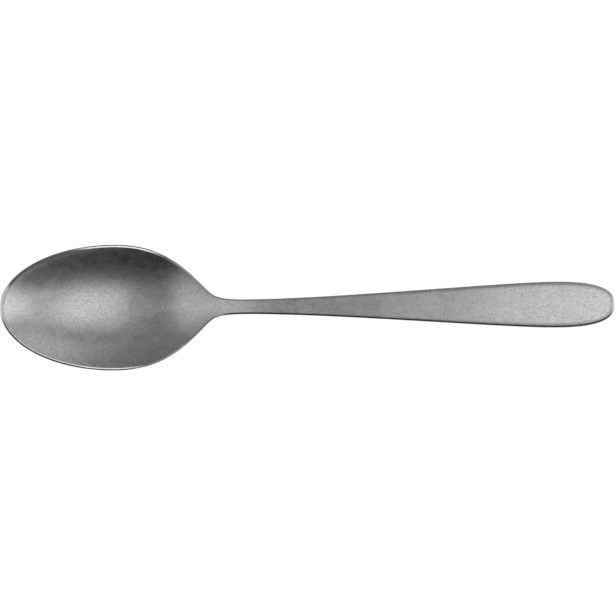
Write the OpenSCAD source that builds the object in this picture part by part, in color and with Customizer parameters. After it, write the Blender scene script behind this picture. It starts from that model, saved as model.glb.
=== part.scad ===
// Soup spoon: one forged piece of steel, lying on its bowl and on the tip of its handle.
// Lengths are in millimetres. X runs from the bowl to the handle, Z is up, and the origin is
// on the table under the middle of the spoon.

/* [Overall] */
// Length from the tip of the bowl to the end of the handle
spoon_l = 205; // [190:1:220]
// Height of the handle's arch above the table
arch_h = 13.8; // [12:0.2:16]
// Depth of the worn flats that the spoon lies on
wear_d = 0.12; // [0.08:0.01:0.2]

/* [Bowl] */
// Greatest width of the bowl
bowl_w = 41.9; // [38:0.1:46]
// Length from the tip to the widest line of the bowl
bowl_front_l = 37.9; // [33:0.1:42]
// Length from the widest line to where the sides of the bowl meet the neck
bowl_back_l = 34.9; // [31:0.1:39]
// How squarely the sides of the bowl turn in towards the neck
bowl_back_power = 2.8; // [2.4:0.1:3.6]
// Depth of the hollow below the rim
hollow_d = 9.1; // [8:0.1:10]
// Length of the hollow behind the widest line, until it runs out in the neck
hollow_run_l = 42; // [38:0.5:48]
// Width of the rim, from the hollow to the outside
land_w = 0.8; // [0.8:0.05:1.1]
// Height of the outside of the rim, with its bevel
lip_t = 1.4; // [1.35:0.05:1.8]
// Width of the bevel round the rim
rim_w = 0.75; // [0.5:0.05:0.75]
// Fall of the bevel round the rim
rim_d = 1.2; // [0.8:0.05:1.25]
// Lower rounding of the rim
rim_under_r = 0.1; // [0.05:0.05:0.15]
// Thickness of the metal at the bottom of the bowl
floor_t = 1.2; // [1:0.1:2]

/* [Neck] */
// Width of the neck
neck_w = 4.3; // [4:0.1:6]
// Thickness of the neck
neck_t = 3.2; // [2.4:0.1:4.5]
// How widely the sides of the bowl sweep into the neck
neck_blend_w = 4; // [2:0.2:6]
// Length over which the metal thickens from the bowl to the neck
thicken_l = 34; // [26:1:38]

/* [Handle] */
// Greatest width of the handle
handle_w = 15.3; // [13:0.1:18]
// Thickness of the handle at its end
handle_t = 2; // [1.8:0.1:3]
// Length of the rounded end of the handle
handle_end_l = 19.5; // [16:0.1:24]
// How squarely the end of the handle starts to turn in
end_turn_power = 2.4; // [2:0.1:3]
// How squarely the end of the handle closes
end_close_power = 2.8; // [2.4:0.1:3.6]
// Fall of the crowned top from the middle to the edge at the widest place
crown_d = 0.5; // [0.2:0.05:0.7]
// Fall of the soft upper edge
edge_d = 0.6; // [0.3:0.05:0.7]
// Rise of the soft lower edge
under_edge_d = 0.4; // [0.2:0.05:0.5]

/* [Hidden] */

// Places along the spoon, from the tip of the bowl
neck_x = bowl_front_l + bowl_back_l;
hollow_end_x = bowl_front_l + hollow_run_l;
thicken_x = hollow_end_x - thicken_l;
end_x = spoon_l - handle_end_l;

bowl_half = bowl_w / 2;
neck_half = neck_w / 2;
handle_half = handle_w / 2;

// Side view: heights of the rim and of the handle's top, evenly spaced along the spoon,
// as shares of the arch
side_shares = [
    1.08, 0.98, 0.9, 0.82, 0.75, 0.67, 0.58, 0.42, 0.43, 0.69, 0.9, 0.97, 0.96,
    0.94, 0.92, 0.89, 0.84, 0.78, 0.72, 0.65, 0.56, 0.46, 0.35, 0.23, 0.12
];
// Depths along the hollow, evenly spaced from the tip to where it runs out, as shares of
// its depth
hollow_shares = [0, 0.44, 0.66, 0.81, 0.92, 0.98, 1.02, 0.99, 0.84, 0.56, 0.17, 0, 0];
// Places that draw the flare of the handle, as shares of its length
flare_shares = [0, 0.33, 0.83, 1];
// How flat the bottom of the hollow is from side to side
flat_share = 0.04;
// How straight the bevel round the rim falls, where 0 would be an even rounding
bevel_share = 0.75;
// How much wider the rim is at the tip
tip_wide_share = 0.4;
// Reach of the soft upper and lower edges, as shares of half the local handle width
edge_share = 0.26;
under_edge_share = 0.16;
// Reach of the upper surface's last ring, as a share of the soft upper edge
ring_share = 1.3;
// Where the ribs at each end meet, as shares of half the width there
tip_hub_share = 0.48;
end_hub_share = 0.8;
// How closely the ribs crowd at the neck, and a rib's points at its middle
crowd_power = 1.5;
spread_power = 1.12;
// Step that finds the outline's direction, as a share of a stretch
look_share = 0.001;

// Facets along the front and back of the bowl, the shank and the end of the handle
front_steps = 16;
back_steps = 26;
shank_steps = 22;
end_steps = 14;
// Facets from the middle to the rim, and round the upper and lower edges
across_steps = 9;
edge_steps = 3;
under_steps = 3;

function mix(a, b, share) = a + (b - a) * share;

function within(share) = max(0, min(1, share));

// Rises from 0 to 1 without a kink at either end
function ease(share) =
    let (s = within(share))
    s * s * s * (s * (s * 6 - 15) + 10);

// The larger of two sizes, with the change from one to the other swept over a width
function swept_max(a, b, width) = (a + b + sqrt(pow(a - b, 2) + width * width)) / 2;

// One of a list of shares, carried on straight past either end of the list
function share_at(shares, k) =
    let (last = len(shares) - 1)
    k < 0 ? 2 * shares[0] - shares[1]
    : k > last ? 2 * shares[last] - shares[last - 1]
    : shares[k];

// Smooth curve that follows evenly spaced shares, at a place from 0 to 1 along them
function curve(shares, place) =
    let (
        at = within(place) * (len(shares) - 1),
        k = min(floor(at), len(shares) - 2),
        s = at - k
    )
    (pow(1 - s, 3) * share_at(shares, k - 1)
        + (3 * s * s * s - 6 * s * s + 4) * share_at(shares, k)
        + (3 * s * s - 3 * s * s * s + 3 * s + 1) * share_at(shares, k + 1)
        + s * s * s * share_at(shares, k + 2)) / 6;

// Bezier curve through the first and the last of a list of shares
function drawn(shares, place) =
    len(shares) == 1
    ? shares[0]
    : drawn([for (k = [0 : len(shares) - 2]) mix(shares[k], shares[k + 1], place)], place);

// Half of an oval's width at x, from its end at start to its widest line at middle
function oval_half(x, start, middle, half) =
    half * sqrt(max(0, 1 - pow((middle - x) / (middle - start), 2)));

// Half width of the outline behind the bowl's widest line, where the sides sweep into a
// handle of the given half width
function swept_half(x, handle) =
    let (
        along = (x - bowl_front_l) / bowl_back_l,
        round_share = pow(bowl_back_l / bowl_front_l, 2) / 2,
        side = bowl_half
            * (1 - round_share * along * along
                - (1 - round_share) * pow(along, bowl_back_power))
    )
    swept_max(side, handle, neck_blend_w * pow(min(1, along), 2));

// Half width of the bowl's outline at x
function bowl_half_at(x) =
    x < bowl_front_l ? oval_half(x, 0, bowl_front_l, bowl_half) : swept_half(x, neck_half);

// Half width of the handle alone, at a place along its flare
function flare_half(place) = mix(neck_half, handle_half, place * place * (3 - 2 * place));

// Outline on the +Y side, in four stretches: bowl front, bowl back, flare, rounded end
function outline(stretch, place) =
    stretch == 0
    ? [bowl_front_l * (1 - cos(place * 90)), bowl_half * sin(place * 90)]
    : stretch == 1
    ? let (x = bowl_front_l + bowl_back_l * place) [x, swept_half(x, neck_half)]
    : stretch == 2
    ? let (x = mix(neck_x, end_x, drawn(flare_shares, place)))
        [x, swept_half(x, flare_half(place))]
    : [
        end_x + handle_end_l * pow(sin(place * 90), 2 / end_turn_power),
        handle_half * pow(cos(place * 90), 2 / end_close_power)
    ];

// Half width that the soft edges follow
function guide_half(stretch, place) =
    stretch < 2 ? neck_half : stretch == 2 ? flare_half(place) : handle_half;

// Direction out of the outline
function outward(stretch, place) =
    let (
        before = outline(stretch, max(0, place - look_share)),
        after = outline(stretch, min(1, place + look_share)),
        way = after - before
    )
    [-way.y, way.x] / norm(way);

places = concat(
    [for (k = [0 : front_steps]) [0, k / front_steps]],
    [for (k = [1 : back_steps]) [1, k / back_steps]],
    [for (k = [1 : shank_steps]) [2, pow(k / shank_steps, crowd_power)]],
    [for (k = [1 : end_steps]) [3, k / end_steps]]
);
last_rib = len(places) - 1;

// Share of the way from the thin bowl to the full handle
function handle_share(x) = ease((x - thicken_x) / thicken_l);

// Height of the metal's side at x
function side_t(x) =
    mix(
        mix(lip_t, neck_t, handle_share(x)),
        handle_t,
        ease((x - hollow_end_x) / (spoon_l - hollow_end_x))
    );

// Height of the rim and of the handle's middle line, before the spoon settles
function line_h(x) = arch_h * curve(side_shares, x / spoon_l);

// Share of the depth left at y, in a cross section of the given half width
function section_share(y, half) =
    let (
        s = y == 0 ? 0 : pow(y / half, 2),
        flat = flat_share * pow(half / bowl_half, 2)
    )
    1 - (1 - flat) * s - flat * s * s;

// Depth of the hollow below the rim
function hollow_at(x, y, half) =
    hollow_d * curve(hollow_shares, (x - land_w) / (hollow_end_x - land_w))
        * section_share(y, half);

// Upper surface without the hollow
function upper_h(x, y) = line_h(x) - crown_d * handle_share(x) * pow(y / handle_half, 2);

// Lower surface
function lower_h(x, y) =
    line_h(x) - side_t(x)
        - (hollow_d + floor_t - lip_t) * curve(hollow_shares, x / hollow_end_x)
            * section_share(y, bowl_half_at(x));

// The bowl's lowest point
bowl_xs = [for (k = [0 : back_steps]) bowl_front_l + bowl_back_l * k / back_steps];
rest_h = min([for (x = bowl_xs) lower_h(x, 0)]);
rest_x = [for (x = bowl_xs) if (lower_h(x, 0) == rest_h) x][0];

// The lowest point of the handle's end, on its soft lower edge
end_under_w = under_edge_share * handle_half;
rest_end_x = spoon_l - end_under_w;
rest_end_h = min([
    for (k = [0 : under_steps])
    let (turn = 90 * k / under_steps)
    lower_h(rest_end_x + end_under_w * sin(turn), 0) + under_edge_d * (1 - cos(turn))
]);

// The spoon settles on both
lean = (rest_end_h - rest_h) / (rest_end_x - rest_x);
function settled(p) =
    [
        p.x - spoon_l / 2,
        p.y,
        max(wear_d, p.z - rest_h - lean * (p.x - rest_x)) - wear_d
    ];

// Half width of the hollow at x, where a rib's hollow ends at the given half width
function hollow_half(x, rib_half) =
    x < bowl_front_l ? oval_half(x, land_w, bowl_front_l, bowl_half - land_w) : rib_half;

// The middle line's point that a rib at x runs to
function hub(x) =
    [max(bowl_half * tip_hub_share, min(spoon_l - handle_half * end_hub_share, x)), 0];

// Points of one rib on the +Y side, from the middle of the top round to the middle below
function rib(stretch, place) =
    let (
        edge = outline(stretch, place),
        out = place == 0 && stretch == 0 ? [-1, 0]
            : place == 1 && stretch == 3 ? [1, 0]
            : outward(stretch, place),
        guide = guide_half(stretch, place),
        share = handle_share(edge.x),
        widen = 1 + tip_wide_share * pow(max(0, -out.x), 4) * (1 - share),
        top_w = widen * mix(rim_w, edge_share * guide, share),
        top_d = mix(rim_d, edge_d, share),
        straight = bevel_share * (1 - share),
        under_w = mix(rim_under_r, under_edge_share * guide, share),
        under_d = mix(rim_under_r, under_edge_d, share),
        land = edge - out * widen * mix(land_w, ring_share * edge_share * guide, share),
        sole = edge - out * under_w,
        top_hub = hub(land.x),
        sole_hub = hub(sole.x),
        stray = hollow_at(land.x, land.y, hollow_half(land.x, land.y))
    )
    concat(
        [
            for (k = [0 : across_steps])
            let (
                s = pow(k / across_steps, spread_power),
                p = mix(top_hub, land, s),
                depth = hollow_at(p.x, p.y, hollow_half(p.x, land.y)) - stray * s * s
            )
            [p.x, p.y, upper_h(p.x, p.y) - depth]
        ],
        [
            for (k = [0 : edge_steps])
            let (
                turn = 90 * k / edge_steps,
                p = edge - out * top_w * (1 - sin(turn))
            )
            [p.x, p.y, upper_h(p.x, p.y) - top_d * mix(1 - cos(turn), sin(turn), straight)]
        ],
        [
            for (k = [under_steps : -1 : 0])
            let (
                turn = 90 * k / under_steps,
                p = edge - out * under_w * (1 - sin(turn))
            )
            [p.x, p.y, lower_h(p.x, p.y) + under_d * (1 - cos(turn))]
        ],
        [
            for (k = [across_steps - 1 : -1 : 0])
            let (p = mix(sole_hub, sole, pow(k / across_steps, spread_power)))
            [p.x, p.y, lower_h(p.x, p.y)]
        ]
    );

ribs = [for (p = places) rib(p[0], p[1])];
rib_points = len(ribs[0]);
loop_points = 2 * (rib_points - 1);

// Each loop runs out over the +Y side and comes back, mirrored, over the -Y side
points = [
    for (r = ribs, k = [0 : loop_points - 1])
    let (p = k < rib_points ? r[k] : r[loop_points - k])
    settled([p.x, k < rib_points ? p.y : -p.y, p.z])
];

// A rib whose middle point is the first or the last rib's shares that rib's point
function met_rib(i, k) =
    ribs[i][k].x == ribs[0][k].x ? 0 : ribs[i][k].x == ribs[last_rib][k].x ? last_rib : i;

// Number of the point at place k round the loop of rib i
function point_at(i, k) =
    let (
        around = k % loop_points,
        folded = (i == 0 || i == last_rib) && around >= rib_points
            ? loop_points - around
            : around,
        middle = folded == 0 || folded == rib_points - 1,
        row = middle ? met_rib(i, folded) : i
    )
    row * loop_points + folded;

// The two triangles between neighbouring loops, with those that closed up left out
function facets(i, k) =
    let (
        a = point_at(i, k),
        b = point_at(i, k + 1),
        c = point_at(i + 1, k + 1),
        d = point_at(i + 1, k),
        pair = k < rib_points - 1 ? [[a, b, c], [a, c, d]] : [[a, b, d], [b, c, d]]
    )
    [for (f = pair) if (f[0] != f[1] && f[1] != f[2] && f[2] != f[0]) f];

module spoon()
{
    color("silver")
        polyhedron(
            points = points,
            faces = [
                for (i = [0 : last_rib - 1], k = [0 : loop_points - 1]) each facets(i, k)
            ],
            convexity = 6
        );
}

spoon();
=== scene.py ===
import math

import bmesh
import bpy
import numpy as np
from mathutils import Euler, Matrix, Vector

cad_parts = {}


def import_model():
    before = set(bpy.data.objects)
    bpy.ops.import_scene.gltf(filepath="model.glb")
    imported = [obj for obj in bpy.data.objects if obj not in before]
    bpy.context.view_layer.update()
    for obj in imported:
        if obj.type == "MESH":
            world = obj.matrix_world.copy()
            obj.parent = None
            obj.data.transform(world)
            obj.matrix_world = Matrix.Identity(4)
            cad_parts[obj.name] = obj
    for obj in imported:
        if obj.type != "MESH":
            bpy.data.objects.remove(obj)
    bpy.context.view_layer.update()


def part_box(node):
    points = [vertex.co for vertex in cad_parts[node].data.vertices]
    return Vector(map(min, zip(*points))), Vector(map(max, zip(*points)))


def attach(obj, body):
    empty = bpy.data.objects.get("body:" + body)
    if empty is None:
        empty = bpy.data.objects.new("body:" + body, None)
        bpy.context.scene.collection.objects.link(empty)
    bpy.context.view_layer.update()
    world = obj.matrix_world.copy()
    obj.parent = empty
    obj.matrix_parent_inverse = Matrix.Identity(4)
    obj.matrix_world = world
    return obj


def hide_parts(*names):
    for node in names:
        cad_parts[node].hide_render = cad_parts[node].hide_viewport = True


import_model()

# The spoon's sizes are in millimetres, measured from the tip of the bowl, with Z up
MM = 0.001

# Overall
SPOON_L = 205
ARCH_H = 13.8
WEAR_D = 0.12

# Bowl
BOWL_W = 41.9
BOWL_FRONT_L = 37.9
BOWL_BACK_L = 34.9
BOWL_BACK_POWER = 2.8
HOLLOW_D = 9.1
HOLLOW_RUN_L = 42
LAND_W = 0.8
LIP_T = 1.4
RIM_W = 0.75
RIM_D = 1.2
RIM_UNDER_R = 0.1
FLOOR_T = 1.2
# Rounding where the land breaks into the hollow
CREASE_R = 0.05

# Neck
NECK_W = 4.3
NECK_T = 3.2
NECK_BLEND_W = 4
THICKEN_L = 34

# Handle
HANDLE_W = 15.3
HANDLE_T = 2
HANDLE_END_L = 19.5
END_TURN_POWER = 2.4
END_CLOSE_POWER = 2.8
CROWN_D = 0.5
EDGE_D = 0.6
UNDER_EDGE_D = 0.4

# Places along the spoon, and half widths, that follow from the sizes
NECK_X = BOWL_FRONT_L + BOWL_BACK_L
HOLLOW_END_X = BOWL_FRONT_L + HOLLOW_RUN_L
THICKEN_X = HOLLOW_END_X - THICKEN_L
END_X = SPOON_L - HANDLE_END_L
BOWL_HALF = BOWL_W / 2
NECK_HALF = NECK_W / 2
HANDLE_HALF = HANDLE_W / 2

# Shapes drawn as shares of the sizes above, as on the part's own drawing
SIDE_SHARES = [
    1.08, 0.98, 0.9, 0.82, 0.75, 0.67, 0.58, 0.42, 0.43, 0.69, 0.9, 0.97, 0.96,
    0.94, 0.92, 0.89, 0.84, 0.78, 0.72, 0.65, 0.56, 0.46, 0.35, 0.23, 0.12,
]
HOLLOW_SHARES = [0, 0.44, 0.66, 0.81, 0.92, 0.98, 1.02, 0.99, 0.84, 0.56, 0.17, 0, 0]
FLARE_SHARES = [0, 0.33, 0.83, 1]
FLAT_SHARE = 0.04
BEVEL_SHARE = 0.75
TIP_WIDE_SHARE = 0.4
TIP_WIDE_POWER = 4
EDGE_SHARE = 0.26
UNDER_EDGE_SHARE = 0.16
RING_SHARE = 1.3
TIP_HUB_SHARE = 0.48
END_HUB_SHARE = 0.8
CROWD_POWER = 1.5
LOOK_SHARE = 0.001

# Ribs along the bowl's front and back, the shank and the end of the handle
FRONT_STEPS = 84
BACK_STEPS = 84
SHANK_STEPS = 110
END_STEPS = 70
# Points of a rib across the top, the crease, the land, the roundings, the side and below,
# and how closely they crowd towards the crease and towards the corner of the bevel
ACROSS_STEPS = 40
CREASE_STEPS = 6
LAND_STEPS = 3
LAND_POWER = 1.5
ROUND_STEPS = 10
ROUND_POWER = 1.6
SIDE_STEPS = 3
# How much finer than these the search for the lowest points is
SEARCH_TIMES = 20
# Closer than this, points are one
MERGE_D = 0.001


def mix(a, b, share):
    return a + (b - a) * share


def ease(share):
    """Rises from 0 to 1 without a kink at either end."""
    s = np.clip(share, 0, 1)
    return s * s * s * (s * (s * 6 - 15) + 10)


def swept_max(a, b, width):
    """The larger of two sizes, with the change from one to the other swept over a width."""
    return (a + b + np.sqrt((a - b) ** 2 + width * width)) / 2


def curve(shares, place):
    """Smooth curve that follows evenly spaced shares, at places from 0 to 1 along them."""
    before = 2 * shares[0] - shares[1]
    after = 2 * shares[-1] - shares[-2]
    row = np.array([before, *shares, after], float)
    at = np.clip(place, 0, 1) * (len(shares) - 1)
    k = np.minimum(np.floor(at), len(shares) - 2).astype(int)
    s = at - k
    return (
        (1 - s) ** 3 * row[k]
        + (3 * s**3 - 6 * s**2 + 4) * row[k + 1]
        + (3 * s**2 - 3 * s**3 + 3 * s + 1) * row[k + 2]
        + s**3 * row[k + 3]
    ) / 6


def drawn(shares, place):
    """Bezier curve through the first and the last of a list of shares."""
    row = [np.full_like(place, s) for s in shares]
    while len(row) > 1:
        row = [mix(a, b, place) for a, b in zip(row, row[1:])]
    return row[0]


def oval_half(x, start, middle, half):
    """Half of an oval's width at x, from its end at start to its widest line at middle."""
    return half * np.sqrt(np.maximum(0, 1 - ((middle - x) / (middle - start)) ** 2))


def swept_half(x, handle):
    """Half width of the outline behind the bowl's widest line, swept into a handle's."""
    along = np.maximum(0, x - BOWL_FRONT_L) / BOWL_BACK_L
    round_share = (BOWL_BACK_L / BOWL_FRONT_L) ** 2 / 2
    squared = round_share * along**2 + (1 - round_share) * along**BOWL_BACK_POWER
    return swept_max(BOWL_HALF * (1 - squared), handle, NECK_BLEND_W * np.minimum(1, along) ** 2)


def bowl_half_at(x):
    """Half width of the bowl's outline at x."""
    front = oval_half(x, 0, BOWL_FRONT_L, BOWL_HALF)
    return np.where(x < BOWL_FRONT_L, front, swept_half(x, NECK_HALF))


def flare_half(place):
    """Half width of the handle alone, at a place along its flare."""
    return mix(NECK_HALF, HANDLE_HALF, place * place * (3 - 2 * place))


def outline(stretch, place):
    """Points of the outline on the +Y side: bowl front, bowl back, flare, rounded end."""
    turn = place * math.pi / 2
    if stretch == 0:
        return BOWL_FRONT_L * (1 - np.cos(turn)), BOWL_HALF * np.sin(turn)
    if stretch == 1:
        x = BOWL_FRONT_L + BOWL_BACK_L * place
        return x, swept_half(x, NECK_HALF)
    if stretch == 2:
        x = mix(NECK_X, END_X, drawn(FLARE_SHARES, place))
        return x, swept_half(x, flare_half(place))
    close = np.maximum(0, np.cos(turn))
    return (
        END_X + HANDLE_END_L * np.sin(turn) ** (2 / END_TURN_POWER),
        HANDLE_HALF * close ** (2 / END_CLOSE_POWER),
    )


def outward(stretch, place):
    """Directions out of the outline."""
    before = outline(stretch, np.maximum(0, place - LOOK_SHARE))
    after = outline(stretch, np.minimum(1, place + LOOK_SHARE))
    way_x, way_y = after[0] - before[0], after[1] - before[1]
    length = np.hypot(way_x, way_y)
    return -way_y / length, way_x / length


def handle_share(x):
    """Share of the way from the thin bowl to the full handle."""
    return ease((x - THICKEN_X) / THICKEN_L)


def side_t(x):
    """Height of the metal's side at x."""
    thick = mix(LIP_T, NECK_T, handle_share(x))
    return mix(thick, HANDLE_T, ease((x - HOLLOW_END_X) / (SPOON_L - HOLLOW_END_X)))


def line_h(x):
    """Height of the rim and of the handle's middle line, before the spoon settles."""
    return ARCH_H * curve(SIDE_SHARES, x / SPOON_L)


def section_share(y, half):
    """Share of the depth left at y, in a cross section of the given half width."""
    s = (y / np.maximum(half, MERGE_D)) ** 2
    flat = FLAT_SHARE * (half / BOWL_HALF) ** 2
    return 1 - (1 - flat) * s - flat * s * s


def hollow_at(x, y, rib_half):
    """Depth of the hollow below the rim, on a rib whose hollow ends at rib_half."""
    front = oval_half(x, LAND_W, BOWL_FRONT_L, BOWL_HALF - LAND_W)
    half = np.where(x < BOWL_FRONT_L, front, rib_half)
    along = (x - LAND_W) / (HOLLOW_END_X - LAND_W)
    return HOLLOW_D * curve(HOLLOW_SHARES, along) * section_share(np.minimum(y, half), half)


def upper_h(x, y):
    """Upper surface without the hollow."""
    return line_h(x) - CROWN_D * handle_share(x) * (y / HANDLE_HALF) ** 2


def lower_h(x, y):
    """Lower surface."""
    deep = (HOLLOW_D + FLOOR_T - LIP_T) * curve(HOLLOW_SHARES, x / HOLLOW_END_X)
    return line_h(x) - side_t(x) - deep * section_share(y, bowl_half_at(x))


def settle_line():
    """The line under the bowl's and the handle end's lowest points, on which the spoon lies."""
    bowl_xs = np.linspace(BOWL_FRONT_L, NECK_X, SEARCH_TIMES * BACK_STEPS)
    heights = lower_h(bowl_xs, 0)
    rest_x, rest_h = bowl_xs[heights.argmin()], heights.min()
    end_w = UNDER_EDGE_SHARE * HANDLE_HALF
    turns = np.linspace(0, math.pi / 2, SEARCH_TIMES * ROUND_STEPS)
    end_xs = SPOON_L - end_w + end_w * np.sin(turns)
    end_h = (lower_h(end_xs, 0) + UNDER_EDGE_D * (1 - np.cos(turns))).min()
    return rest_x, rest_h, (end_h - rest_h) / (SPOON_L - end_w - rest_x)


def rib_places():
    """Stretch and place of every rib, from the bowl's tip to the handle's end."""
    steps = [FRONT_STEPS, BACK_STEPS, SHANK_STEPS, END_STEPS]
    for stretch, count in enumerate(steps):
        places = np.arange(0 if stretch == 0 else 1, count + 1) / count
        yield stretch, places**CROWD_POWER if stretch == 2 else places


# Shade is painted dark on the outside where it faces sideways, less so lower down, and inside
# that a highlight is painted bright on the bowl's rim, with polish from wear. Where these two
# lines stop, shade is painted dark on the whole rim
SOFT_W = 0.08
PAINTED_SHADE_TURNS = (0.6, 1)
LOW_PAINTED_SHADE = 0.25
# A span before any way that the outline faces, so lines that come there start at the tip
FROM_TIP = (-3, -2)
# On each side of the spoon: how far in the painted shade on the outside reaches, and how much
# further round the bowl's front and along the neck; how dark the painted shade is on the bowl
# and on the handle, and on the whole rim; and how far the outline faces towards +X where the
# lines come and go
NEAR_SIDE = {
    "painted_shade_w": 0.5,
    "front_more": 0.1,
    "neck_more": 0.16,
    "bowl_painted_shade": 1,
    "handle_painted_shade": 0.95,
    "rim_painted_shade": 0.7,
    "comes": FROM_TIP,
    "goes": (0.05, 0.3),
}
FAR_SIDE = {
    "painted_shade_w": 0.34,
    "front_more": 0,
    "neck_more": 0,
    "bowl_painted_shade": 1,
    "handle_painted_shade": 0.55,
    "rim_painted_shade": 0.9,
    "comes": (-0.24, -0.08),
    "goes": (0.25, 0.5),
}
# Where the outline faces this far towards -X, it is the bowl's front
FRONT_SPAN = (0.1, 0.4)
# Both lines are there too where the outline faces as far towards -X as this, and on the
# handle from this share on
TIP_SPAN = (0.75, 0.9)
HANDLE_SPAN = (0.97, 1)
# The steel is painted this much lighter at the tip, with polish from wear and a painted
# highlight, and at the handle's end, as a painted highlight, and this far from them
TIP_WEAR_AND_HIGHLIGHT = 0.45
TIP_WEAR_AND_HIGHLIGHT_L = 5
END_HIGHLIGHT = 0.1
END_HIGHLIGHT_L = 9
# Shade is painted dark in the crease round the tip, by this much at most, and this widely
CREASE_PAINTED_SHADE = 0.5
CREASE_PAINTED_SHADE_W = 0.18


def passed(value, span):
    """Rises from 0 to 1 as a value goes through a span."""
    return ease((value - span[0]) / (span[1] - span[0]))


def faded(distance, width):
    """1 at no distance, falling away over a width."""
    return np.exp(-((distance / width) ** 2))


class Edge:
    """The outline's points on a stretch, the way out of it there, and the edge's sizes."""

    def __init__(self, stretch, place):
        self.x, self.y = outline(stretch, place)
        self.out_x, self.out_y = outward(stretch, place)
        if stretch == 0:
            self.out_x[0], self.out_y[0] = -1, 0
        if stretch == 3:
            self.out_x[-1], self.out_y[-1] = 1, 0
        guide = [NECK_HALF, NECK_HALF, flare_half(place), HANDLE_HALF][stretch]
        share = handle_share(self.x)
        tip = np.maximum(0, -self.out_x) ** TIP_WIDE_POWER
        widen = 1 + TIP_WIDE_SHARE * tip * (1 - share)
        self.share = share
        self.slim = (HANDLE_HALF - guide) / (HANDLE_HALF - NECK_HALF)
        self.top_w = widen * mix(RIM_W, EDGE_SHARE * guide, share)
        self.top_d = mix(RIM_D, EDGE_D, share)
        self.straight = BEVEL_SHARE * (1 - share)
        self.under_w = mix(RIM_UNDER_R, UNDER_EDGE_SHARE * guide, share)
        self.under_d = mix(RIM_UNDER_R, UNDER_EDGE_D, share)
        self.land_w = widen * mix(LAND_W, RING_SHARE * EDGE_SHARE * guide, share)

    def inset(self, width):
        """The outline's points moved in by a width."""
        return self.x - self.out_x * width, self.y - self.out_y * width


def hub(x):
    """The middle line's place that a rib from x runs to."""
    return np.clip(x, BOWL_HALF * TIP_HUB_SHARE, SPOON_L - HANDLE_HALF * END_HUB_SHARE)


def upper_points(x, y, fall):
    """Points below the upper surface by a fall."""
    return np.stack([x, y, upper_h(x, y) - fall], axis=2)


def lower_points(x, y, rise):
    """Points above the lower surface by a rise."""
    return np.stack([x, y, lower_h(x, y) + rise], axis=2)


def crease_fall(slope, distance):
    """What rounds the crease, at a distance from it, where the hollow has a slope."""
    return slope * np.maximum(0, CREASE_R - distance) ** 2 / (4 * CREASE_R)


def top_of(edge):
    """The upper surface from the middle to the land, with the hollow in it, and the hollow's
    slope at the land."""
    land_x, land_y = edge.inset(edge.land_w)
    hub_x = hub(land_x)
    reach = np.hypot(land_x - hub_x, land_y)
    inner = (1 - CREASE_R / reach) * np.linspace(0, 1, ACROSS_STEPS, endpoint=False)
    crease = CREASE_R * np.linspace(1, 0, CREASE_STEPS + 1) / reach
    s = np.concatenate([inner, 1 - crease], axis=1)
    x, y = mix(hub_x, land_x, s), land_y * s
    stray = hollow_at(land_x, land_y, land_y)
    depth = hollow_at(x, y, land_y) - stray * s * s
    slope = depth[:, [ACROSS_STEPS]] / CREASE_R
    return upper_points(x, y, depth + crease_fall(slope, (1 - s) * reach)), slope


def land_of(edge, slope):
    """The land, with its half of the rounded crease."""
    land_x, land_y = edge.inset(edge.land_w)
    steps = np.linspace(0, 1, LAND_STEPS + ROUND_STEPS)[1:-1]
    way = steps**LAND_POWER * (edge.land_w - edge.top_w)
    x, y = land_x + edge.out_x * way, land_y + edge.out_y * way
    return upper_points(x, y, crease_fall(slope, way))


def roundings_of(edge):
    """The upper rounding out to the side, and the lower rounding back from it."""
    turn = np.linspace(0, 1, ROUND_STEPS + 1) ** ROUND_POWER * (math.pi / 2)
    fall = edge.top_d * mix(1 - np.cos(turn), np.sin(turn), edge.straight)
    over = upper_points(*edge.inset(edge.top_w * (1 - np.sin(turn))), fall)
    turn = turn[::-1]
    rise = edge.under_d * (1 - np.cos(turn))
    under = lower_points(*edge.inset(edge.under_w * (1 - np.sin(turn))), rise)
    return over, under


def sole_of(edge):
    """The lower surface back to the middle."""
    sole_x, sole_y = edge.inset(edge.under_w)
    s = np.linspace(1, 0, ACROSS_STEPS + 1)[1:]
    return lower_points(mix(hub(sole_x), sole_x, s), sole_y * s, 0)


def worn_at(edge, x, inward, outside, lined):
    """How much each point of the ribs is painted lighter, as wear with a painted highlight."""
    # A highlight painted bright on the bowl's rim inside the painted shade line, with polish from
    # wear
    worn = (1 - outside) * ease((edge.land_w - inward) / SOFT_W) * lined * (1 - edge.share)
    worn = np.maximum(worn, TIP_WEAR_AND_HIGHLIGHT * faded(x, TIP_WEAR_AND_HIGHLIGHT_L))
    return np.maximum(worn, END_HIGHLIGHT * faded(x - SPOON_L, END_HIGHLIGHT_L))


def painted_shade_at(edge, side, inward, outside, lined, first_side):
    """How dark each point of the ribs is painted as shade: along the outer edge, over the rim, and
    in the crease round the tip.
    """
    # Shade painted dark along the outer edge, and over the whole rim where the lines stop
    sideways = ease(edge.out_y / mix(*PAINTED_SHADE_TURNS, edge.share))
    line = outside * sideways * lined * mix(side["bowl_painted_shade"], side["handle_painted_shade"], edge.share)
    rim = ease((edge.land_w - inward) / SOFT_W + 1) * (1 - lined) * (1 - edge.share)
    painted_shade = np.maximum(line, side["rim_painted_shade"] * rim)
    painted_shade[:, first_side:] *= LOW_PAINTED_SHADE
    crease = CREASE_PAINTED_SHADE * faded(inward - edge.land_w, CREASE_PAINTED_SHADE_W)
    crease = crease * (1 - edge.out_y**2) * (1 - edge.share)
    crease[:, first_side:] = 0
    return np.maximum(painted_shade, crease)


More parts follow.
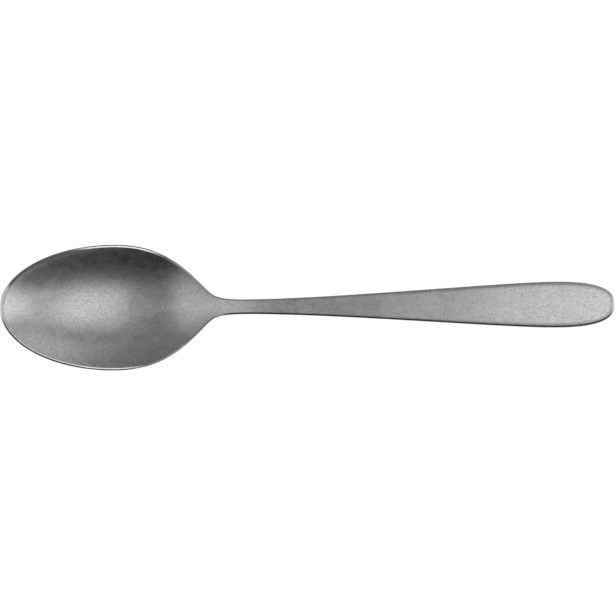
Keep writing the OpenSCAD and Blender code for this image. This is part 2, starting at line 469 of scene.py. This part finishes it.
def side_marks(edge, side, rib, first_side):
    """How worn with a painted highlight, and how dark with painted shade, each point of the ribs is
    on one side of the spoon.
    """
    inward = np.hypot(rib[..., 0] - edge.x, rib[..., 1] - edge.y)
    front_more = side["front_more"] * passed(-edge.out_x, FRONT_SPAN)
    painted_shade_w = side["painted_shade_w"] + mix(front_more, side["neck_more"] * edge.slim, edge.share)
    outside = ease((painted_shade_w - inward) / SOFT_W)
    lined = passed(edge.out_x, side["comes"]) * (1 - passed(edge.out_x, side["goes"]))
    lined = np.maximum(lined, passed(-edge.out_x, TIP_SPAN))
    lined = np.maximum(lined, passed(edge.share, HANDLE_SPAN))
    worn = worn_at(edge, rib[..., 0], inward, outside, lined)
    return worn, painted_shade_at(edge, side, inward, outside, lined, first_side)


def ribs_of(stretch, place):
    """Points of a stretch's ribs on the +Y side, from the middle of the top round to the
    middle below, with how worn with a painted highlight, and how dark with painted shade, each
    is on the +Y side and on the -Y side."""
    edge = Edge(stretch, place[:, None])
    top, slope = top_of(edge)
    over, under = roundings_of(edge)
    above = [top, land_of(edge, slope), over]
    side = mix(over[:, -1:], under[:, :1], np.linspace(0, 1, SIDE_STEPS + 1)[1:-1, None])
    rib = np.concatenate([*above, side, under, sole_of(edge)], axis=1)
    first_side = sum(points.shape[1] for points in above)
    far = side_marks(edge, FAR_SIDE, rib, first_side)
    near = side_marks(edge, NEAR_SIDE, rib, first_side)
    return rib, *far, *near


def looped(far, near):
    """Rows of the +Y side carried on round the -Y side, back to where they start."""
    return np.concatenate([far, near[:, -2:0:-1]], axis=1)


def spoon_rows():
    """The spoon's points in millimetres, rib by rib, each carried round both sides and
    settled on the table, with how worn with a painted highlight, and how dark with painted shade,
    they are."""
    parts = [ribs_of(stretch, place) for stretch, place in rib_places()]
    ribs, far_worn, far_painted_shade, near_worn, near_painted_shade = [
        np.concatenate(rows) for rows in zip(*parts)
    ]
    points = looped(ribs, ribs)
    points[:, ribs.shape[1]:, 1] *= -1
    rest_x, rest_h, lean = settle_line()
    fall = rest_h + lean * (points[..., 0] - rest_x) + WEAR_D
    points[..., 2] = np.maximum(0, points[..., 2] - fall)
    return points, looped(far_worn, near_worn), looped(far_painted_shade, near_painted_shade)


def loop_quads(count, around):
    """The faces between neighbouring loops, each with this many points around."""
    corner = np.arange(count * around).reshape(count, around)
    turned = np.roll(corner, -1, axis=1)
    return np.stack([corner[:-1], turned[:-1], turned[1:], corner[1:]], axis=2).reshape(-1, 4)


def close_up(mesh):
    """Joins points that meet, and turns all faces outwards."""
    shape = bmesh.new()
    shape.from_mesh(mesh)
    bmesh.ops.remove_doubles(shape, verts=shape.verts, dist=MERGE_D * MM)
    bmesh.ops.recalc_face_normals(shape, faces=shape.faces)
    shape.to_mesh(mesh)
    shape.free()


def spoon_piece():
    """The whole spoon as one closed mesh in metres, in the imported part's place."""
    points, worn, painted_shade = spoon_rows()
    low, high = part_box("spoon")
    start = np.array([low.x, (low.y + high.y) / 2, low.z])
    corners = (start + points.reshape(-1, 3) * MM).tolist()
    mesh = bpy.data.meshes.new("soup_spoon")
    mesh.from_pydata(corners, [], loop_quads(*points.shape[:2]).tolist())
    # The marks of wear with painted highlight, and of painted shade, go to the material
    for name, rows in (("worn", worn), ("painted_shade", painted_shade)):
        mark = mesh.attributes.new(name, "FLOAT", "POINT")
        mark.data.foreach_set("value", rows.ravel().astype(np.float32))
    close_up(mesh)
    mesh.shade_smooth()
    spoon = bpy.data.objects.new("soup_spoon", mesh)
    bpy.context.scene.collection.objects.link(spoon)
    return spoon


class Paint:
    """A node tree with short calls that add nodes and join them."""

    def __init__(self, tree):
        self.tree = tree
        self.tree.nodes.clear()

    def node(self, kind, **settings):
        """A new node with its settings."""
        node = self.tree.nodes.new("ShaderNode" + kind)
        for name, value in settings.items():
            setattr(node, name, value)
        return node

    def join(self, value, socket):
        """A socket's link, or its plain value."""
        if isinstance(value, bpy.types.NodeSocket):
            self.tree.links.new(value, socket)
        else:
            socket.default_value = value

    def math(self, operation, *values):
        """The result of a sum on links or plain values."""
        node = self.node("Math", operation=operation)
        for value, socket in zip(values, node.inputs):
            self.join(value, socket)
        return node.outputs[0]


# Share of light that the steel reflects, and its roughness, with the reach of each kind of
# mottling: the grain, the clouds in it and the small strokes
STEEL_TONE = 0.6
GRAIN_TONE = 0.75
CLOUD_TONE = 0.3
STROKE_TONE = 0.22
STEEL_ROUGHNESS = 0.28
CLOUD_ROUGHNESS = 0.16
STROKE_ROUGHNESS = 0.08
# The same where wear has polished the steel and a highlight is painted, and where shade is
# painted dark
WEAR_AND_HIGHLIGHT_TONE = 0.95
WEAR_AND_HIGHLIGHT_ROUGHNESS = 0.14
PAINTED_SHADE_TONE = 0.09
PAINTED_SHADE_ROUGHNESS = 0.4
# Sizes of the grain, the clouds, the dents and the waves left by forging, and the heights
# of the grain, dents, strokes and waves, in millimetres
GRAIN_SIZE = 0.4
CLOUD_SIZE = 3
DENT_SIZE = 0.8
WAVE_SIZE = 16
GRAIN_H = 0.006
DENT_H = 0.006
STROKE_H = 0.003
WAVE_H = 0.05
# Each set of strokes: its bearing in degrees and the size of its cells along and across
STROKE_SETS = [(12, 1.4, 0.13), (67, 1.1, 0.12), (118, 1.3, 0.14), (158, 1.7, 0.12)]
STROKE_LOW = 0.66
STROKE_HIGH = 0.76


def mottle(paint, place, size, detail):
    """Noise from 0 to 1 with the given size, even about 0.5."""
    noise = paint.node("TexNoise")
    paint.join(place, noise.inputs["Vector"])
    noise.inputs["Scale"].default_value = 1 / size
    noise.inputs["Detail"].default_value = detail
    return noise.outputs[0]


def strokes(paint, place):
    """1 on small straight strokes that cross each other, and 0 between them."""
    found = 0
    for bearing, along, across in STROKE_SETS:
        turned = paint.node("Mapping", vector_type="TEXTURE")
        paint.join(place, turned.inputs["Vector"])
        turned.inputs["Location"].default_value = (bearing, -bearing, 0)
        turned.inputs["Rotation"].default_value = (0, 0, math.radians(bearing))
        turned.inputs["Scale"].default_value = (along, across, along / 2)
        depth = paint.node("MapRange")
        paint.join(mottle(paint, turned.outputs[0], 1, 0), depth.inputs["Value"])
        depth.inputs["From Min"].default_value = STROKE_LOW
        depth.inputs["From Max"].default_value = STROKE_HIGH
        found = paint.math("MAXIMUM", found, depth.outputs[0])
    return found


def mixed(paint, plain, worn, painted_shade):
    """A value where the steel is plain, worn with a painted highlight, or dark with painted shade.
    """
    for name, value in (("worn", worn), ("painted_shade", painted_shade)):
        share = paint.node("Attribute", attribute_name=name)
        mixer = paint.node("Mix")
        paint.join(share.outputs["Fac"], mixer.inputs["Factor"])
        paint.join(plain, mixer.inputs["A"])
        paint.join(value, mixer.inputs["B"])
        plain = mixer.outputs["Result"]
    return plain


def marked(paint, value, *reaches):
    """A value that marks change, each by its own reach."""
    for mark, reach in reaches:
        value = paint.math("MULTIPLY_ADD", mark, reach, value)
    return value


def place_in_mm(paint):
    """Where the shaded point lies on the spoon, in millimetres."""
    coords = paint.node("TexCoord")
    place = paint.node("VectorMath", operation="SCALE")
    paint.join(coords.outputs["Object"], place.inputs["Vector"])
    place.inputs["Scale"].default_value = 1 / MM
    return place.outputs[0]


def relief(paint, height):
    """The surface's direction with a height in millimetres on it."""
    bump = paint.node("Bump")
    bump.inputs["Distance"].default_value = MM
    paint.join(height, bump.inputs["Height"])
    return bump.outputs[0]


def steel():
    """Stonewashed stainless steel."""
    material = bpy.data.materials.new("stonewashed_steel")
    material.use_nodes = True
    paint = Paint(material.node_tree)
    place = place_in_mm(paint)
    grain = paint.math("SUBTRACT", mottle(paint, place, GRAIN_SIZE, 1), 0.5)
    cloud = paint.math("SUBTRACT", mottle(paint, place, CLOUD_SIZE, 2), 0.5)
    dents = mottle(paint, place, DENT_SIZE, 0)
    waves = mottle(paint, place, WAVE_SIZE, 0)
    stroke = strokes(paint, place)
    speckle = marked(paint, 1, (grain, GRAIN_TONE), (cloud, CLOUD_TONE), (stroke, -STROKE_TONE))
    # The base colour is painted lighter as highlight where worn, and painted dark as shade on the
    # edges
    tone = paint.math("MULTIPLY", speckle, mixed(paint, STEEL_TONE, WEAR_AND_HIGHLIGHT_TONE, PAINTED_SHADE_TONE))
    rough = marked(
        paint, STEEL_ROUGHNESS, (cloud, CLOUD_ROUGHNESS), (stroke, STROKE_ROUGHNESS)
    )
    rough = mixed(paint, rough, WEAR_AND_HIGHLIGHT_ROUGHNESS, PAINTED_SHADE_ROUGHNESS)
    height = marked(
        paint, 0, (grain, GRAIN_H), (dents, DENT_H), (stroke, -STROKE_H), (waves, WAVE_H)
    )
    shader = paint.node("BsdfPrincipled")
    shader.inputs["Metallic"].default_value = 1
    paint.join(tone, shader.inputs["Base Color"])
    paint.join(rough, shader.inputs["Roughness"])
    # Where shade is painted, the steel also stays dark at a glancing angle
    paint.join(mixed(paint, 1, 1, 0), shader.inputs["Specular Tint"])
    paint.join(relief(paint, height), shader.inputs["Normal"])
    out = paint.node("OutputMaterial")
    paint.join(shader.outputs[0], out.inputs["Surface"])
    return material


# The floor is 60 m wide. Its paint and its glow together come near white
FLOOR_W = 60
FLOOR_COLOR = (0.5, 0.5, 0.5, 1)
FLOOR_GLOW = 0.8


def floor_piece():
    """A wide pale floor."""
    half = FLOOR_W / 2
    mesh = bpy.data.meshes.new("floor")
    corners = [(-half, -half, 0), (half, -half, 0), (half, half, 0), (-half, half, 0)]
    mesh.from_pydata(corners, [], [(0, 1, 2, 3)])
    floor = bpy.data.objects.new("floor", mesh)
    bpy.context.scene.collection.objects.link(floor)
    return floor


def seen_share(paint):
    """1 where the eye looks, straight or by way of metal or glass, and 0 where light falls."""
    path = paint.node("LightPath")
    mirrored = paint.math(
        "MAXIMUM", path.outputs["Is Glossy Ray"], path.outputs["Is Transmission Ray"]
    )
    return paint.math("MAXIMUM", path.outputs["Is Camera Ray"], mirrored), path


def floor_paint():
    """Pale matt paint that keeps shadows. The eye sees it near white, and through it from
    below."""
    material = bpy.data.materials.new("pale_floor")
    material.use_nodes = True
    paint = Paint(material.node_tree)
    seen, path = seen_share(paint)
    matt = paint.node("BsdfDiffuse")
    matt.inputs["Color"].default_value = FLOOR_COLOR
    glow = paint.node("Emission")
    paint.join(paint.math("MULTIPLY", seen, FLOOR_GLOW), glow.inputs["Strength"])
    lit = paint.node("AddShader")
    paint.join(matt.outputs[0], lit.inputs[0])
    paint.join(glow.outputs[0], lit.inputs[1])
    face = paint.node("NewGeometry")
    below = paint.math("MULTIPLY", face.outputs["Backfacing"], path.outputs["Is Camera Ray"])
    clear = paint.node("BsdfTransparent")
    pick = paint.node("MixShader")
    paint.join(below, pick.inputs[0])
    paint.join(lit.outputs[0], pick.inputs[1])
    paint.join(clear.outputs[0], pick.inputs[2])
    out = paint.node("OutputMaterial")
    paint.join(pick.outputs[0], out.inputs["Surface"])
    return material


# The photograph, of IMAGE_PX pixels a side, has the spoon's middle at this pixel, turned
# a little, and shows this width of the table
IMAGE_PX = 616
MIDDLE_X_PX = 307.4
MIDDLE_Y_PX = 306.3
TURN_DEG = 0.4
VIEW_W = 205.54 * MM
CAMERA_H = 6
MEAN_H = 8 * MM


def camera():
    """A camera straight above the spoon, with the photograph's frame."""
    data = bpy.data.cameras.new("camera")
    data.lens = data.sensor_width * (CAMERA_H - MEAN_H) / VIEW_W
    data.clip_end = FLOOR_W
    view = bpy.data.objects.new("camera", data)
    px = VIEW_W / IMAGE_PX
    turn = Euler((0, 0, math.radians(-TURN_DEG)))
    aside = Vector(((IMAGE_PX / 2 - MIDDLE_X_PX) * px, (MIDDLE_Y_PX - IMAGE_PX / 2) * px, CAMERA_H))
    aside.rotate(turn)
    view.location = aside
    view.rotation_euler = turn
    bpy.context.scene.collection.objects.link(view)
    bpy.context.scene.camera = view


# How far the softboxes stand from the spoon, in metres
SOFTBOX_D = 5
# Each softbox: the tilts from overhead that it lies between, its bearing round from +X and
# its spread to either side of that, in degrees, and its radiance
SOFTBOXES = {
    "right_strip": (17.5, 34.5, -4.5, 29, 0.98),
    "right_softbox": (47.5, 85.5, -4, 22, 0.68),
    "back_softbox": (60, 86, 53, 16.5, 0.48),
    "left_softbox": (32.5, 81.5, 190, 36, 0.39),
    "left_strip": (6, 45, 181, 4, 0.24),
}
# A softbox fades towards its edges: it is made of layers of these sizes, with even shares
# of its radiance, each this far behind the last
LAYERS = [0.65, 1, 1.35]
LAYER_GAP = 0.1


def softbox(name, nearest, furthest, bearing, spread, radiance):
    """A softbox that faces the spoon."""
    tilt, half = math.radians((nearest + furthest) / 2), math.radians((furthest - nearest) / 2)
    turn = Euler((0, tilt, math.radians(bearing)))
    for number, layer in enumerate(LAYERS):
        distance = SOFTBOX_D + number * LAYER_GAP
        data = bpy.data.lights.new(name, "AREA")
        data.shape = "RECTANGLE"
        data.size = 2 * distance * math.tan(layer * half)
        data.size_y = 2 * distance * math.tan(layer * math.radians(spread))
        data.energy = radiance / len(LAYERS) * math.pi * data.size * data.size_y
        light = bpy.data.objects.new(name, data)
        light.rotation_euler = turn
        light.location = turn.to_matrix() @ Vector((0, 0, distance))
        light.visible_camera = False
        bpy.context.scene.collection.objects.link(light)


# Light from the studio's ceiling and walls, from low in front, past overhead, to low behind:
# each place along Y and the light there
WORLD_GLOWS = [(-1, 0), (-0.5, 0.24), (0, 0.34), (1, 0.22)]


def world():
    """A dim studio that is dark towards -Y."""
    data = bpy.data.worlds.new("studio")
    data.use_nodes = True
    bpy.context.scene.world = data
    paint = Paint(data.node_tree)
    way = paint.node("TexCoord")
    parts = paint.node("SeparateXYZ")
    paint.join(way.outputs["Generated"], parts.inputs[0])
    place = paint.math("MULTIPLY_ADD", parts.outputs["Y"], 0.5, 0.5)
    ramp = paint.node("ValToRGB")
    stops = ramp.color_ramp.elements
    while len(stops) < len(WORLD_GLOWS):
        stops.new(0.5)
    for stop, (y, glow) in zip(stops, WORLD_GLOWS):
        stop.position = (y + 1) / 2
        stop.color = (glow, glow, glow, 1)
    paint.join(place, ramp.inputs[0])
    back = paint.node("Background")
    paint.join(ramp.outputs[0], back.inputs["Color"])
    out = paint.node("OutputWorld")
    paint.join(back.outputs[0], out.inputs["Surface"])


bpy.context.scene.view_settings.view_transform = "Standard"
spoon = spoon_piece()
spoon.data.materials.append(steel())
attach(spoon, "root")
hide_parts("spoon")
floor = floor_piece()
floor.data.materials.append(floor_paint())
camera()
for name, settings in SOFTBOXES.items():
    softbox(name, *settings)
world()
